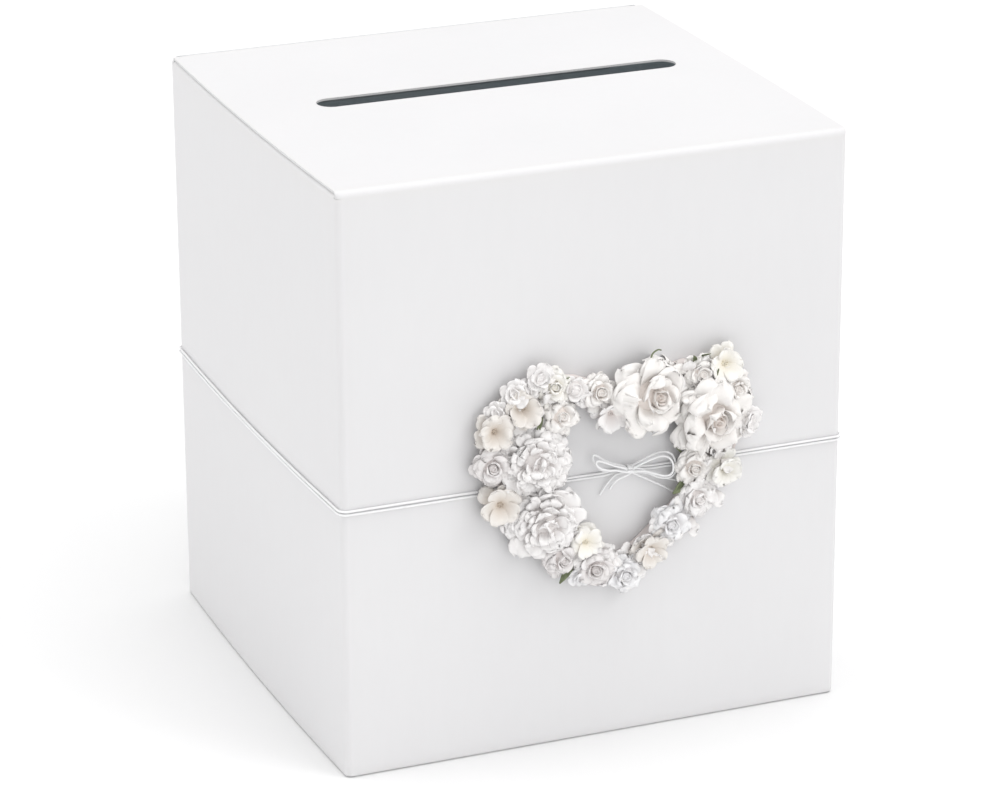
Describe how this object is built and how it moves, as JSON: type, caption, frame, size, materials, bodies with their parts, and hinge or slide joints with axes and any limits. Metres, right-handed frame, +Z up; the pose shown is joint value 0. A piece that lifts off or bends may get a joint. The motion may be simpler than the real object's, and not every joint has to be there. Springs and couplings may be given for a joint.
{
  "type": "wedding card box",
  "caption": "White folded-board card box with a slotted hinged lid, a heart wreath of paper flowers on its front and a thin cord tied round it in a bow.",
  "frame": {"origin": "centre of the carton's underside, on the outer bottom flap, at the level of the table", "axes": "+Z up, the front wall with the wreath faces -Y, +X to the right when seen from the front"},
  "size_m": [0.2428, 0.2511, 0.273],
  "materials": {
    "board": "smooth white satin board",
    "cord": "thin twisted white cord",
    "base": "matt off-white card",
    "petal": "matt crinkled white paper",
    "cream": "matt crinkled cream paper",
    "leaf": "matt green paper"
  },
  "bodies": {
    "carton": {"front_wall": "board", "back_wall": "board", "left_wall": "board", "right_wall": "board", "glue_flap": "board", "bottom_flap_front": "board", "bottom_flap_left": "board", "bottom_flap_right": "board", "bottom_flap_back": "board", "cord_band_upper": "cord", "cord_band_lower": "cord", "bow_knot": "cord", "bow_loop_left_outer": "cord", "bow_loop_left_inner": "cord", "bow_loop_right_outer": "cord", "bow_loop_right_inner": "cord", "bow_tail_left_long": "cord", "bow_tail_left_short": "cord", "bow_tail_right_long": "cord", "bow_tail_right_short": "cord", "wreath_base": "base", "rose_large_top": "petal", "rose_large_right": "petal", "carnation_upper": "petal", "carnation_lower": "petal", "rose_01": "petal", "rose_02": "petal", "rose_03": "cream", "rose_04": "cream", "rose_05": "petal", "rose_06": "petal", "rose_07": "petal", "rose_08": "petal", "rose_09": "petal", "rose_10": "petal", "rose_11": "petal", "rose_12": "petal", "rosebud_01": "petal", "blossom_01": "petal", "blossom_02": "cream", "blossom_03": "cream", "blossom_04": "cream", "blossom_05": "cream", "blossom_06": "petal", "blossom_07": "petal", "blossom_08": "petal", "bud_01": "petal", "bud_02": "petal", "bud_03": "petal", "bud_04": "petal", "petals_01": "petal", "petals_02": "petal", "leaf_01": "leaf", "leaf_02": "leaf", "leaf_03": "leaf", "leaf_04": "leaf"},
    "lid": {"lid_panel": "board"},
    "tuck": {"tuck_flap": "board"},
    "dust_left": {"dust_flap_left": "board"},
    "dust_right": {"dust_flap_right": "board"}
  },
  "joints": [
    {"name": "lid_hinge", "type": "hinge", "parent": "carton", "child": "lid", "pos_m": [0, -0.114, 0.273], "axis": [1, 0, 0], "range_deg": [0, 180]},
    {"name": "tuck_hinge", "type": "hinge", "parent": "lid", "child": "tuck", "pos_m": [0, 0.1126, 0.273], "axis": [1, 0, 0], "range_deg": [0, 90]},
    {"name": "dust_left_hinge", "type": "hinge", "parent": "carton", "child": "dust_left", "pos_m": [-0.12, 0, 0.2717], "axis": [0, -1, 0], "range_deg": [0, 90]},
    {"name": "dust_right_hinge", "type": "hinge", "parent": "carton", "child": "dust_right", "pos_m": [0.12, 0, 0.2717], "axis": [0, 1, 0], "range_deg": [0, 90]}
  ],
  "couplings": [
    {"joint": "tuck_hinge", "follows": "lid_hinge", "ratio": 0.5},
    {"joint": "dust_left_hinge", "follows": "lid_hinge", "ratio": 0.5},
    {"joint": "dust_right_hinge", "follows": "lid_hinge", "ratio": 0.5}
  ]
}
